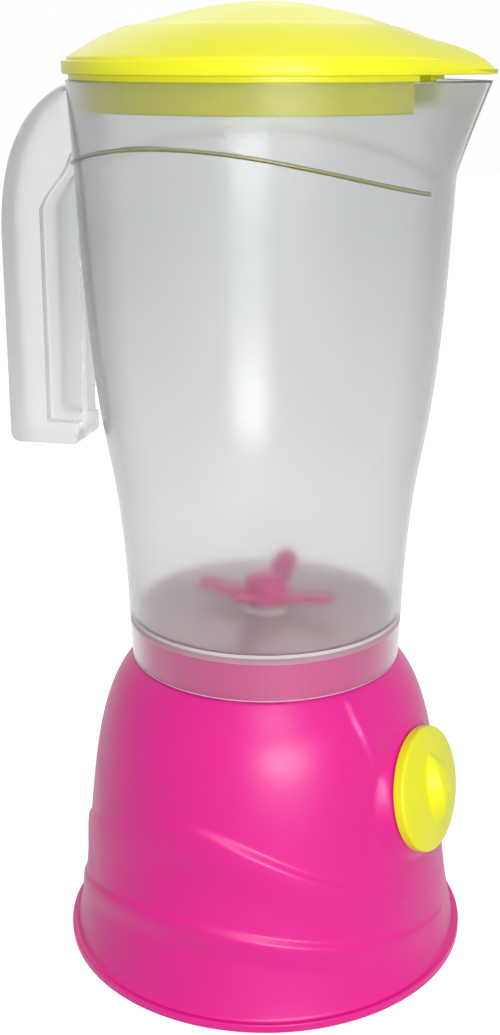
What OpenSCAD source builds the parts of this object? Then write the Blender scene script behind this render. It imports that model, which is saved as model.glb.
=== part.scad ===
// Toy blender: hollow base with a turning dial, bevel drive, lift-off jar and lid.
// Origin: centre of the face it stands on. +Z is up, +X points to the spout.

/* [Base housing] */
// Outer radius of the lip at the foot
foot_r = 60.1; // [54:0.1:68]
// Height of the lip at the foot
foot_h = 2.5; // [1.5:0.1:4]
// How far the lip stands out from the wall
foot_lip = 1.8; // [0.6:0.1:3]
// Radius that draws the lower half of the side in
side_low_r = 50.9; // [48:0.1:58]
// Radius that draws the upper half of the side out
side_high_r = 54.5; // [50:0.1:58]
// Outer radius of the shoulder under the jar
shoulder_r = 38; // [37.6:0.1:40]
// Height of the shoulder under the jar
shoulder_z = 89.4; // [84:0.1:100]
// Wall thickness of the housing
base_wall = 2; // [1.5:0.1:2.6]
// Outer radius of the neck that the jar sits on
neck_r = 36.9; // [34:0.1:37.3]
// Height of the neck above the shoulder
neck_h = 11.6; // [10.5:0.1:16]
// How far the folds in the side stand out
fold_rise = 1.2; // [0.5:0.1:1.4]
// Half the height of a fold's ledge
fold_ledge = 1.1; // [0.6:0.1:1.6]
// How far below its ledge the upper fold fades away
fold_fade = 17; // [8:0.5:22]
// How far below its ledge the lower fold fades away
low_fade = 9; // [7:0.5:12]

/* [Drive well] */
// Inner radius of the well in the top of the neck
well_r = 11; // [10:0.1:14]
// Depth of the well
well_depth = 9; // [8.6:0.1:10]
// Radius of the plain part of the deck bush
deck_bush_r = 4.5; // [4:0.1:6]
// Thickness of the flanges of both bushes
bush_flange = 1; // [0.8:0.1:1.4]

/* [Dial] */
// Azimuth of the dial, from the side opposite -Y towards the spout
dial_az = 73; // [65:1:80]
// Height at which the dial's axis leaves the wall
dial_z = 56.9; // [54:0.1:60]
// Upward tilt of the dial's axis
dial_tilt = 11.35; // [9:0.05:13]
// Outer radius of the dial
dial_r = 17.8; // [15:0.1:20]
// Thickness of the dial's edge
dial_edge = 3.1; // [2:0.1:4.5]
// Rise of the dial's domed face
dial_dome = 1.9; // [1:0.1:3]
// Length of the finger grip across the dial
grip_len = 24; // [16:0.5:28]
// Width of the finger grip
grip_w = 10.5; // [7:0.5:14]
// Height of the finger grip above the dial's edge
grip_h = 6; // [4:0.5:9]
// Radius of the dial's stem
stem_r = 4.5; // [4:0.1:5.5]
// Radius of the stem inside the wheel
stem_tip_r = 3; // [2.6:0.1:3.6]
// Radius of the seat behind the dial
seat_r = 15.5; // [12:0.1:17]

/* [Bevel gears] */
// Teeth on the wheel that the dial turns
wheel_teeth = 24; // [24:1:24]
// Teeth on the spindle's pinion
pinion_teeth = 12; // [12:1:12]
// Distance from the shafts' crossing to the pitch circles
cone_len = 22.1; // [21:0.1:23]
// Face width of the teeth along the cone
tooth_face = 7; // [5:0.1:8]
// Share of the pitch that a tooth fills
tooth_fill = 0.42; // [0.36:0.01:0.45]

/* [Spindle] */
// Radius of the spindle
spindle_r = 2.5; // [2:0.1:3]
// Outer radius of both coupling discs
dog_r = 8; // [7:0.1:9]
// Height of the coupling teeth
dog_tooth_h = 2.4; // [1.6:0.1:2.6]
// Thickness of the coupling discs
dog_disc_h = 2; // [1.5:0.1:2.2]

/* [Floor] */
// Thickness of the floor plate
floor_t = 2.8; // [2.4:0.1:3.4]
// Height of the floor plate above the ground
floor_lift = 0; // [0:0.1:1]
// Radius of the circle that the floor screws lie on
floor_screw_r = 48; // [44:0.5:49]
// Thread radius of the screws
screw_r = 1.45; // [1.2:0.05:1.6]
// Head radius of the screws
screw_head_r = 2.8; // [2.4:0.1:3.2]
// Head height of the screws
screw_head_h = 1.4; // [1.2:0.1:1.6]

/* [Jar] */
// Wall thickness of the jar
jar_wall = 2; // [1.6:0.1:2.4]
// Gap between the neck and the jar's skirt
jar_fit = 0.3; // [0.2:0.05:0.5]
// Height of the rim
rim_z = 250.5; // [244:0.1:262]
// Outer radius of the rim
rim_r = 52.1; // [50:0.1:56]
// Outer radius where the jar flares most
flare_r = 43.9; // [42.5:0.1:46]
// Height at which the jar flares most
flare_z = 150; // [140:0.5:160]
// Slope of the wall there
flare_slope = 0.187; // [0.15:0.001:0.22]
// Radius that draws the upper wall out
upper_r = 49.6; // [48.5:0.1:51.5]
// Thickness of the jar's floor
jar_floor = 2.4; // [2:0.1:3]
// Outer reach of the spout
spout_reach = 60.1; // [56:0.1:66]
// Depth of the spout's root below the rim
spout_depth = 25; // [18:0.5:40]
// Half the angle that the spout takes out of the rim
spout_half = 27; // [20:0.5:32]
// How far the wavy bead stands out of the wall
bead_rise = 0.5; // [0.3:0.05:0.8]

/* [Handle] */
// Outer reach of the handle
handle_reach = 73.3; // [70:0.1:80]
// Radius of the handle's inner edge at its foot
handle_inner_r = 52.5; // [51:0.1:56]
// Width of the handle
handle_w = 18; // [14:0.5:24]
// Height of the handle's free end
handle_foot_z = 150.5; // [142:0.5:160]
// Height below which the handle hangs free
handle_free_z = 213; // [206:0.5:218]
// Depth of the recess in each side of the grip
recess_depth = 3.2; // [1.5:0.1:4]
// Radius out to which the recess goes
recess_r = 61.8; // [58:0.1:65]

/* [Agitator] */
// Reach of the arms
arm_reach = 21; // [16:0.5:26]
// Width of the arms
arm_w = 7; // [5:0.5:9]
// Thickness of the arms
arm_t = 1.6; // [1.2:0.1:2]
// Rise of one pair of arms towards their tips
arm_rise_low = 1.5; // [0:0.1:4]
// Rise of the other pair of arms
arm_rise_high = 6.5; // [2:0.1:10]
// Radius of the hub
hub_r = 6; // [5:0.1:8]
// Height of the hub
hub_h = 9; // [7:0.5:12]
// Radius of the agitator's shaft
shaft_r = 2; // [1.5:0.1:2.4]
// Radius of the plain part of the jar's bush
jar_bush_r = 5; // [4:0.1:6]

/* [Lid] */
// Height of the lid's crown above the rim
lid_rise = 19.3; // [16:0.1:30]
// How far the brim stands out past the rim
brim_out = 0.8; // [0.3:0.1:2]
// Height of the brim
brim_h = 3.3; // [2.5:0.1:5]
// Gap between the rim and the underside of the brim
brim_gap = 1.5; // [0.8:0.1:2.5]
// Wall thickness of the lid
lid_wall = 1.8; // [1.4:0.1:2.4]
// Depth of the plug below the rim
plug_depth = 7.5; // [5:0.5:12]
// Gap between the plug and the jar
plug_fit = 0.5; // [0.3:0.05:1]
// Radius of the raised cap on the lid
cap_r = 33; // [28:0.5:38]
// Height of the cap's edge below the crown
cap_drop = 5.6; // [4:0.1:7]

/* [Hidden] */
$fn = 96;
eps = 0.01;
run_fit = 0.05;      // radial clearance of a shaft in its bore
press = 0.02;        // radial clearance of a part held fast on its shaft
seat_gap = 0.2;      // end play of a turning part
stem_flat = 0.7;     // depth of the driving flat on the dial's stem
spindle_flat = 0.6;  // depth of the driving flats on the spindle
shaft_flat = 0.5;    // depth of the driving flat on the agitator's shaft
long = 100;          // length of a cut that goes right through
steps = 22;          // straight pieces in each outline

pink = [0.95, 0.08, 0.56];
yellow = [0.90, 0.93, 0.10];
clear_grey = [0.78, 0.80, 0.80];
steel = [0.72, 0.73, 0.75];
nylon = [0.93, 0.93, 0.90];

// A cubic curve through p[0] and p[3], its direction, and the curve moved sideways
function bez(p, t) = pow(1 - t, 3) * p[0] + 3 * t * pow(1 - t, 2) * p[1]
    + 3 * t * t * (1 - t) * p[2] + pow(t, 3) * p[3];
function slope(p, t) = pow(1 - t, 2) * (p[1] - p[0]) + 2 * t * (1 - t) * (p[2] - p[1])
    + t * t * (p[3] - p[2]);
function side(v) = [-v[1], v[0]] / norm(v);
function curve(p, n, off = 0) = [for (i = [0:n]) bez(p, i / n) + off * side(slope(p, i / n))];
function flip(a) = [for (i = [len(a) - 1:-1:0]) a[i]];
function by_height(a) = [for (q = a) [q[1], q[0]]];
function at_az(r, az, z) = [r * sin(az), -r * cos(az), z];

// Base outline, from the foot to the shoulder
base_wall_r = foot_r - foot_lip;
side_z0 = foot_h + 0.5;
side_line = [
    [base_wall_r, side_z0],
    [side_low_r, side_z0 + 0.308 * (shoulder_z - side_z0)],
    [side_high_r, side_z0 + 0.846 * (shoulder_z - side_z0)],
    [shoulder_r, shoulder_z]
];
function share_z(u) = u * shoulder_z;
upper_fold = [
    [-96.9, share_z(0.308)], [1.8, share_z(0.774)], [-28.8, share_z(0.734)], [69.6, share_z(0.276)]
];
lower_fold = [
    [-88.9, share_z(0.145)], [-7.2, share_z(0.431)], [-12.2, share_z(0.322)], [86, share_z(0.145)]
];
side_table = by_height(curve(side_line, steps));
function side_r(z) = lookup(z, side_table);
deck_z = shoulder_z + neck_h;
well_z = deck_z - well_depth;
neck_edge = 0.8;

// Dial axis: s is the distance along it from where it crosses the spindle's axis
wall_s = side_r(dial_z) / cos(dial_tilt);
cross_z = dial_z - side_r(dial_z) * tan(dial_tilt);
seat_s = wall_s + 0.35;
dial_s = seat_s + seat_gap;
seat_deep = 5.4;
hub_seat_r = 7;

// Bevel gears: pitch cones that share the crossing of the two shafts
shaft_angle = 90 - dial_tilt;
ratio = wheel_teeth / pinion_teeth;
pinion_cone = atan(sin(shaft_angle) / (ratio + cos(shaft_angle)));
wheel_cone = shaft_angle - pinion_cone;
tooth_mod = 2 * cone_len * sin(wheel_cone) / wheel_teeth;
addendum = 0.85 * tooth_mod / cone_len * 180 / PI;
dedendum = 1.15 * tooth_mod / cone_len * 180 / PI;
flank = tan(20);
wheel_s = cone_len * cos(wheel_cone);
pinion_s = cone_len * cos(pinion_cone);
face_share = 1 - tooth_face / cone_len;
wheel_front_s = wheel_s * face_share;
wheel_back_s = wheel_s + 3;
washer_t = 1;
wheel_hub_s = wheel_s + 5.1;
wheel_hub_r = 8;
pinion_hub_h = 5;
pinion_hub_r = 5.5;

// Bracket behind the wheel
bracket_s = wheel_hub_s + 0.3;
bracket_boss_r = 7;
bracket_boss_len = 8.8;
bracket_x = bracket_s + 2.3;
bracket_t = 3;
bracket_w = 24;
bracket_foot = [15, 30, 2.5];
bracket_rib_foot = [10, 0];
bracket_rib_top = [0, 26];
bracket_screw_x = bracket_x + 9;
bracket_screw_y = 10;
pad_z = 8;
pad_r = 4;

// Floor, its bearing and its screws
floor_top = floor_lift + floor_t;
floor_gap = 0.3;
boss_r = 3.8;
boss_h = 12;
floor_screw_az = [45, 135, 225, 315];
head_z = floor_lift + 0.1;
socket_z = floor_top + 4;
socket_r = 5.5;
socket_h = 9;
screw_len = 9;

// Spindle and couplings
dog_z = well_z + bush_flange + 0.3;
spindle_top = dog_z + dog_disc_h + 0.3;
clip_t = 0.8;
clip_z = well_z - base_wall - seat_gap - clip_t;
groove_r = spindle_r - 0.5;
dog_teeth = 4;
dog_tooth_angle = 34;
driven_top = deck_z - seat_gap;
shaft_bottom = driven_top - dog_disc_h - dog_tooth_h;

// Jar outline in two curves that meet where it flares most
skirt_z = shoulder_z + 0.5;
skirt_wall = 1.8;
jar_foot_r = neck_r + jar_fit + skirt_wall;
low_third = (flare_z - skirt_z) / 3;
high_third = (rim_z - flare_z) / 3;
jar_low = [
    [jar_foot_r, skirt_z], [jar_foot_r + 0.8, skirt_z + low_third],
    [flare_r - flare_slope * low_third, flare_z - low_third], [flare_r, flare_z]
];
jar_high = [
    [flare_r, flare_z], [flare_r + flare_slope * high_third, flare_z + high_third],
    [upper_r, rim_z - high_third], [rim_r, rim_z]
];
jar_table = by_height(concat(curve(jar_low, steps), curve(jar_high, steps)));
function jar_r(z) = lookup(z, jar_table);
floor_z = deck_z;
inside_z = floor_z + jar_floor;
spout_root_z = rim_z - spout_depth;

// Lid heights
top_z = rim_z + lid_rise;
brim_z = rim_z + brim_gap;
brim_r = rim_r + brim_out;
dome_z = brim_z + brim_h + 1.5;
dome_r = rim_r - 0.9;
plug_r = rim_r - jar_wall - plug_fit - 0.7;
plug_half = 31;
beak_half = 30;

module on_dial_axis() {
    translate([0, 0, cross_z])
        rotate([0, 0, dial_az - 90])
            rotate([0, 90 - dial_tilt, 0])
                children();
}

// A closed solid through rings that all have the same number of points
module skin(rings) {
    n = len(rings);
    m = len(rings[0]);
    polyhedron(
        points = [for (ring = rings) each ring],
        faces = concat(
            [[for (j = [m - 1:-1:0]) j]],
            [[for (j = [0:m - 1]) (n - 1) * m + j]],
            [for (i = [0:n - 2], j = [0:m - 1])
                [i * m + j, i * m + (j + 1) % m, (i + 1) * m + (j + 1) % m, (i + 1) * m + j]]
        ),
        convexity = 6
    );
}

// One moulded fold: a ledge along line, in azimuths and heights, that fades away below it
module fold(line, fade) {
    sunk = 0.45;
    deep = 1.2;
    profile = [
        [fold_ledge, 0], [-fold_ledge, 1], [-0.35 * fade, 0.85], [-0.7 * fade, 0.35], [-fade, 0]
    ];
    rings = [for (i = [0:28])
        let (u = i / 28, p = bez(line, u), lift = pow(max(0, sin(180 * u)), 0.6) * (fold_rise + sunk))
        concat(
            [for (q = profile)
                at_az(side_r(p[1] + q[0]) - sunk + lift * q[1], p[0], p[1] + q[0])],
            [at_az(side_r(p[1] - fade) - deep, p[0], p[1] - fade),
             at_az(side_r(p[1] + fold_ledge) - deep, p[0], p[1] + fold_ledge)]
        )
    ];
    skin([for (ring = rings) flip(ring)]);
}

module screw(len) {
    slot = 0.6;
    difference() {
        cylinder(r = screw_head_r, h = screw_head_h);
        for (turn = [0, 90])
            rotate([0, 0, turn])
                translate([-1.6, -slot / 2, -eps])
                    cube([3.2, slot, 0.8]);
    }
    translate([0, 0, screw_head_h])
        cylinder(r = screw_r, h = len);
}

module at_floor_screws() {
    for (az = floor_screw_az)
        rotate([0, 0, az])
            translate([floor_screw_r, 0, 0])
                children();
}

module at_bracket_screws() {
    for (y = [-bracket_screw_y, bracket_screw_y])
        rotate([0, 0, dial_az - 90])
            translate([bracket_screw_x, y, 0])
                children();
}

module base_shell() {
    inside = curve(side_line, steps, base_wall);
    neck_in = neck_r - base_wall;
    under_deck = deck_z - base_wall;
    outline = concat(
        [[inside[0][0], 0], [foot_r, 0], [foot_r, foot_h]],
        curve(side_line, steps),
        [[neck_r, shoulder_z + 0.1], [neck_r, deck_z - neck_edge], [neck_r - neck_edge, deck_z]],
        [[well_r, deck_z], [well_r, well_z], [deck_bush_r + press, well_z]],
        [[deck_bush_r + press, well_z - base_wall], [well_r + base_wall, well_z - base_wall]],
        [[well_r + base_wall, under_deck], [neck_in, under_deck], [neck_in, shoulder_z]],
        flip(inside)
    );
    color(pink) difference() {
        union() {
            rotate_extrude() polygon(outline);
            fold(upper_fold, fold_fade);
            fold(lower_fold, low_fade);
            on_dial_axis()
                translate([0, 0, seat_s - seat_deep]) cylinder(r = seat_r, h = seat_deep);
            at_floor_screws() {
                translate([0, 0, floor_top]) cylinder(r = boss_r, h = boss_h);
                translate([0, -1, floor_top])
                    cube([side_r(boss_h) - base_wall / 2 - floor_screw_r, 2, boss_h]);
            }
        }
        on_dial_axis() {
            translate([0, 0, seat_s - seat_deep - eps])
                cylinder(r = stem_r + run_fit, h = 2 * seat_deep);
            translate([0, 0, seat_s - seat_deep - eps]) difference() {
                cylinder(r = seat_r - base_wall, h = seat_deep - base_wall);
                cylinder(r = hub_seat_r, h = seat_deep);
            }
        }
        at_floor_screws()
            translate([0, 0, floor_top - eps]) cylinder(r = screw_r + press, h = boss_h - 2);
    }
}

module base_floor() {
    plate_r = base_wall_r - base_wall / cos(15) - floor_gap;
    color(pink) difference() {
        union() {
            translate([0, 0, floor_lift]) cylinder(r = plate_r, h = floor_t);
            translate([0, 0, floor_top - eps]) cylinder(r = socket_r, h = socket_h);
            at_bracket_screws()
                translate([0, 0, floor_top - eps]) cylinder(r = pad_r, h = pad_z - floor_top + eps);
        }
        translate([0, 0, socket_z]) cylinder(r = spindle_r + run_fit, h = socket_h);
        at_floor_screws() {
            translate([0, 0, -eps])
                cylinder(r = screw_head_r + 0.3, h = head_z + screw_head_h + eps);
            cylinder(r = screw_r + 0.25, h = 3 * floor_t);
        }
        at_bracket_screws() translate([0, 0, floor_top - 1]) cylinder(r = screw_r + press, h = pad_z);
    }
}

module floor_screws() {
    color(steel) at_floor_screws() translate([0, 0, head_z]) screw(screw_len);
}

module gear_bracket() {
    boss_z = cross_z + (bracket_s + bracket_boss_len / 2) * sin(dial_tilt);
    color(nylon) difference() {
        union() {
            rotate([0, 0, dial_az - 90]) {
                translate([bracket_x, -bracket_foot[1] / 2, pad_z]) cube(bracket_foot);
                translate([bracket_x, -bracket_w / 2, pad_z]) cube([bracket_t, bracket_w, boss_z - pad_z]);
                translate([bracket_x + bracket_t - eps, 0, pad_z])
                    upright_slab(bracket_t) polygon([[0, 0], bracket_rib_foot, bracket_rib_top]);
            }
            on_dial_axis() translate([0, 0, bracket_s]) cylinder(r = bracket_boss_r, h = bracket_boss_len);
        }
        on_dial_axis() translate([0, 0, bracket_s - eps])
            cylinder(r = stem_r + run_fit, h = bracket_boss_len + 4);
        at_bracket_screws()
            translate([0, 0, pad_z - eps]) cylinder(r = screw_r + 0.15, h = bracket_foot[2] + 1);
    }
}

module bracket_screws() {
    color(steel) at_bracket_screws()
        translate([0, 0, pad_z + bracket_foot[2] + screw_head_h]) mirror([0, 0, 1]) screw(screw_len - 2.4);
}

module deck_bush() {
    color(nylon) difference() {
        union() {
            translate([0, 0, well_z - base_wall]) cylinder(r = deck_bush_r, h = base_wall + eps);
            translate([0, 0, well_z]) cylinder(r = deck_bush_r + 1.6, h = bush_flange);
        }
        translate([0, 0, well_z - base_wall - 1])
            cylinder(r = spindle_r + run_fit, h = base_wall + bush_flange + 2);
    }
}

// What takes the flat off a shaft, from one height to another
module shaft_flat_cut(flat_x, from, to) {
    translate([flat_x, -long / 2, from]) cube([long, long, to - from]);
}

// A bore right along the axis that fits a shaft with a flat
module flat_bore(shaft, flat) {
    difference() {
        translate([0, 0, -long]) cylinder(r = shaft + press, h = 4 * long);
        shaft_flat_cut(shaft - flat + press, -2 * long, 4 * long);
    }
}

// The finger grip's lens-shaped outline, from two equal arcs
module grip_outline() {
    bow_r = (grip_len * grip_len + grip_w * grip_w) / (4 * grip_w);
    intersection() {
        translate([0, bow_r - grip_w / 2]) circle(r = bow_r);
        translate([0, grip_w / 2 - bow_r]) circle(r = bow_r);
    }
}

module knob_dial() {
    face_s = dial_s + dial_edge;
    dome_r = (dial_r * dial_r + dial_dome * dial_dome) / (2 * dial_dome);
    tip_end = wheel_front_s + 0.9;
    grip_r = 16;
    color(yellow) on_dial_axis() difference() {
        union() {
            translate([0, 0, dial_s]) cylinder(r = dial_r, h = dial_edge - 0.8);
            translate([0, 0, face_s - 0.8]) cylinder(r1 = dial_r, r2 = dial_r - 0.6, h = 0.8);
            intersection() {
                translate([0, 0, face_s + dial_dome - dome_r]) sphere(r = dome_r);
                translate([0, 0, face_s - 0.5]) cylinder(r = dial_r - 0.8, h = 2 * dial_dome);
            }
            intersection() {
                translate([0, 0, face_s - 0.5]) linear_extrude(grip_h + 1) grip_outline();
                translate([0, 0, face_s + grip_h - grip_r]) sphere(r = grip_r);
            }
            translate([0, 0, wheel_hub_s]) cylinder(r = stem_r, h = dial_s - wheel_hub_s + eps);
            translate([0, 0, tip_end]) cylinder(r = stem_tip_r, h = wheel_hub_s - tip_end + eps);
        }
        shaft_flat_cut(stem_tip_r - stem_flat, tip_end - eps, wheel_hub_s);
        translate([0, 0, tip_end - eps]) cylinder(r = screw_r + press, h = screw_len);
    }
}

// Bevel gear teeth between two planes, all edges running to the shafts' crossing.
// big is the distance of the outer plane from the crossing.
module bevel_teeth(teeth, cone, big) {
    function tooth_r(d) = big * tan(cone + d);
    function half_angle(d) = (tooth_fill / 2 * PI * tooth_mod - d * PI / 180 * cone_len * flank)
        / (cone_len * sin(cone + d)) * 180 / PI;
    corners = [-dedendum, 0, addendum];
    outline = [for (i = [0:teeth - 1])
        each concat(
            [for (d = corners)
                let (a = i * 360 / teeth - half_angle(d)) tooth_r(d) * [cos(a), sin(a)]],
            [for (d = flip(corners))
                let (a = i * 360 / teeth + half_angle(d)) tooth_r(d) * [cos(a), sin(a)]]
        )
    ];
    translate([0, 0, big]) mirror([0, 0, 1])
        linear_extrude(height = big * (1 - face_share), scale = face_share)
            polygon(outline);
}

module bevel_wheel() {
    backing_r = wheel_s * tan(wheel_cone - dedendum) - 0.3;
    color(nylon) on_dial_axis() difference() {
        union() {
            rotate([0, 0, 180]) bevel_teeth(wheel_teeth, wheel_cone, wheel_s);
            translate([0, 0, wheel_s]) cylinder(r = backing_r, h = wheel_back_s - wheel_s);
            translate([0, 0, wheel_s]) cylinder(r = wheel_hub_r, h = wheel_hub_s - wheel_s);
        }
        flat_bore(stem_tip_r, stem_flat);
    }
}

module wheel_washer() {
    color(steel) on_dial_axis() translate([0, 0, wheel_front_s - washer_t]) difference() {
        cylinder(r = stem_tip_r + 1.5, h = washer_t);
        translate([0, 0, -1]) cylinder(r = screw_r + 0.15, h = 3);
    }
}

module wheel_screw() {
    head_s = wheel_front_s - washer_t - screw_head_h;
    color(steel) on_dial_axis() translate([0, 0, head_s]) screw(screw_len - 1);
}

module drive_spindle() {
    flat_z = cross_z + pinion_s * face_share;
    color(steel) difference() {
        translate([0, 0, socket_z]) cylinder(r = spindle_r, h = spindle_top - socket_z);
        shaft_flat_cut(spindle_r - spindle_flat, flat_z, cross_z + pinion_s + pinion_hub_h);
        translate([0, 0, clip_z - 0.05]) difference() {
            cylinder(r = spindle_r + 1, h = clip_t + 0.1);
            translate([0, 0, -1]) cylinder(r = groove_r, h = clip_t + 2);
        }
        shaft_flat_cut(spindle_r - spindle_flat, dog_z, spindle_top + 1);
    }
}

module bevel_pinion() {
    color(nylon) difference() {
        union() {
            translate([0, 0, cross_z]) rotate([0, 0, dial_az - 90 + 180 / pinion_teeth])
                bevel_teeth(pinion_teeth, pinion_cone, pinion_s);
            translate([0, 0, cross_z + pinion_s - eps]) cylinder(r = pinion_hub_r, h = pinion_hub_h);
        }
        flat_bore(spindle_r, spindle_flat);
    }
}

module spindle_clip() {
    color(steel) translate([0, 0, clip_z]) difference() {
        cylinder(r = spindle_r + 2, h = clip_t);
        translate([0, 0, -1]) cylinder(r = groove_r + press, h = clip_t + 2);
        translate([0, -groove_r * 0.8, -1]) cube([spindle_r + 3, groove_r * 1.6, clip_t + 2]);
    }
}

// A triangle from the axis, open by half to each side of +X
module wedge(half, reach) {
    polygon([[0, 0], reach * [cos(half), -sin(half)], reach * [cos(half), sin(half)]]);
}

// Coupling teeth: sectors of a ring, evenly spaced
module dog_sectors(first) {
    inner = spindle_r + 1.2;
    for (i = [0:dog_teeth - 1])
        rotate([0, 0, first + i * 360 / dog_teeth])
            linear_extrude(dog_tooth_h)
                intersection() {
                    difference() {
                        circle(r = dog_r);
                        circle(r = inner);
                    }
                    wedge(dog_tooth_angle / 2, 2 * dog_r);
                }
}

module drive_dog() {
    color(nylon) difference() {
        union() {
            translate([0, 0, dog_z]) cylinder(r = dog_r, h = dog_disc_h);
            translate([0, 0, dog_z + dog_disc_h]) dog_sectors(0);
        }
        flat_bore(spindle_r, spindle_flat);
    }
}

module driven_dog() {
    disc_z = driven_top - dog_disc_h;
    color(pink) difference() {
        union() {
            translate([0, 0, disc_z]) cylinder(r = dog_r, h = dog_disc_h);
            translate([0, 0, disc_z - dog_tooth_h]) dog_sectors(180 / dog_teeth);
        }
        flat_bore(shaft_r, shaft_flat);
    }
}

module agitator_shaft() {
    top = inside_z + bush_flange + seat_gap + hub_h - 2;
    color(steel) difference() {
        translate([0, 0, shaft_bottom]) cylinder(r = shaft_r, h = top - shaft_bottom);
        shaft_flat_cut(shaft_r - shaft_flat, shaft_bottom - 1, driven_top);
    }
}

module jar_bush() {
    color(nylon) difference() {
        union() {
            translate([0, 0, floor_z]) cylinder(r = jar_bush_r, h = jar_floor + eps);
            translate([0, 0, inside_z]) cylinder(r = jar_bush_r + 2.4, h = bush_flange);
        }
        translate([0, 0, floor_z - 1]) cylinder(r = shaft_r + run_fit, h = jar_floor + 4);
    }
}

// The pulled-out spout: a wedge from the root on the wall to the lip
module spout_wedge(inset) {
    lip = 2.6 - min(inset, 2);
    top = inset > 0 ? 1 : 0;
    side_at = rim_r - 2 - inset;
    hull() {
        translate([spout_reach - 2.6 - inset, 0, rim_z - 1]) cylinder(r = lip, h = 1 + top, $fn = 32);
        for (s = [-1, 1])
            rotate([0, 0, s * spout_half])
                translate([side_at, 0, rim_z - 1]) cylinder(r = 1.8, h = 1 + top, $fn = 32);
        translate([jar_r(spout_root_z) - 2.4 - inset, 0, spout_root_z + inset]) sphere(r = 2, $fn = 24);
    }
}

// Height of the wavy bead at the angle h from the handle
function wave_z(h) = rim_z - 20.4 + 3.6 * cos(h) - 4.7 * cos(2 * h) - 0.5 * cos(3 * h);

module wave_bead() {
    half = 0.8;
    profile = [[-1, -0.6], [-1, 0.6], [0.1, 1], [1, 0.35], [1, -0.35], [0.1, -1]];
    rings = [for (i = [0:40])
        let (h = 9 + i * 3.6, z = wave_z(h))
        [for (q = profile) at_az(jar_r(z) + bead_rise * q[0], h - 90, z + half * q[1])]
    ];
    skin([for (ring = rings) flip(ring)]);
}

// The handle's side view, drawn with the reach along -X
module handle_outline() {
    top_z0 = rim_z - 1.3;
    outer = [
        [rim_r + 1.1, top_z0], [rim_r + 15.9, top_z0 - 7.2],
        [handle_reach - 0.3, top_z0 - 23.2], [handle_reach - 0.4, top_z0 - 43.2]
    ];
    corner = 3;
    foot = [
        for (a = [0:15:90])
            [handle_reach - corner + corner * cos(a), handle_foot_z + corner - corner * sin(a)]
    ];
    heel = [
        for (a = [0:30:90]) [handle_inner_r + 2 - 2 * sin(a), handle_foot_z + 2 - 2 * cos(a)]
    ];
    inner = [
        [handle_inner_r - 0.7, handle_foot_z + 37], [handle_inner_r - 1.3, handle_free_z - 1],
        [handle_inner_r - 2, handle_free_z], [jar_r(handle_free_z) - 1, handle_free_z],
        [jar_r(rim_z) - 1, top_z0]
    ];
    polygon([for (p = concat(curve(outer, 18), foot, heel, inner)) [-p[0], p[1]]]);
}

module recess_outline() {
    top = handle_free_z + 3.5;
    low = handle_foot_z + 6.5;
    roof = [
        [recess_r - 0.6, top], [recess_r - 3.5, top + 7],
        [jar_r(top) + 3, top + 8], [jar_r(top) - 4, top + 18]
    ];
    foot = [[handle_inner_r - 6, low], [recess_r, low]];
    polygon([for (p = concat(foot, curve(roof, 10))) [-p[0], p[1]]]);
}

module upright_slab(thick) {
    translate([0, thick / 2, 0]) rotate([90, 0, 0]) linear_extrude(thick) children();
}

module jar() {
    outside = concat(curve(jar_low, steps), curve(jar_high, steps));
    cavity = concat(
        [for (p = concat(curve(jar_low, steps, jar_wall), curve(jar_high, steps, jar_wall)))
            if (p[1] > inside_z + 0.5 && p[1] < rim_z - 0.5) p],
        [[rim_r - jar_wall, rim_z], [rim_r - jar_wall, rim_z + 2], [0, rim_z + 2]]
    );
    color(clear_grey) difference() {
        union() {
            rotate_extrude() polygon(concat([[0, skirt_z]], outside, [[0, rim_z]]));
            spout_wedge(0);
            wave_bead();
            mirror([0, 1, 0]) wave_bead();
            difference() {
                upright_slab(handle_w) handle_outline();
                for (s = [-1, 1])
                    translate([0, s * handle_w / 2, 0]) upright_slab(2 * recess_depth) recess_outline();
            }
        }
        rotate_extrude() polygon(concat([[0, inside_z], [cavity[0][0] - 0.1, inside_z]], cavity));
        spout_wedge(jar_wall);
        translate([0, 0, skirt_z - 1]) cylinder(r = neck_r + jar_fit, h = floor_z - skirt_z + 1);
        cylinder(r = jar_bush_r + press, h = inside_z + 1);
    }
}

// One arm: a strip that rises towards its tip, rounded off at the end
module agitator_arm(rise) {
    knee = 0.55 * arm_reach;
    foot = 1.6;
    strip = [
        [0, 0], [knee - 2, 0], [arm_reach, rise], [arm_reach, rise + arm_t],
        [knee - 2.6, arm_t], [0, arm_t]
    ];
    intersection() {
        upright_slab(arm_w) polygon([for (p = strip) [p[0], p[1] + foot]]);
        linear_extrude(hub_h + rise + foot) union() {
            translate([arm_reach - arm_w / 2, 0]) circle(r = arm_w / 2);
            translate([0, -arm_w / 2]) square([arm_reach - arm_w / 2, arm_w]);
        }
    }
}

module agitator() {
    hub_z = inside_z + bush_flange + seat_gap;
    turn = dial_az - 80;
    hub_dome_r = 1.7 * hub_r;
    color(pink) difference() {
        translate([0, 0, hub_z]) {
            cylinder(r = hub_r, h = hub_h - 2);
            intersection() {
                cylinder(r = hub_r, h = hub_h);
                translate([0, 0, hub_h - hub_dome_r]) sphere(r = hub_dome_r);
            }
            for (i = [0:3])
                rotate([0, 0, turn + 90 * i])
                    agitator_arm(i % 2 == 0 ? arm_rise_low : arm_rise_high);
        }
        translate([0, 0, hub_z - 1]) cylinder(r = shaft_r + press, h = hub_h - 1);
    }
}

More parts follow.
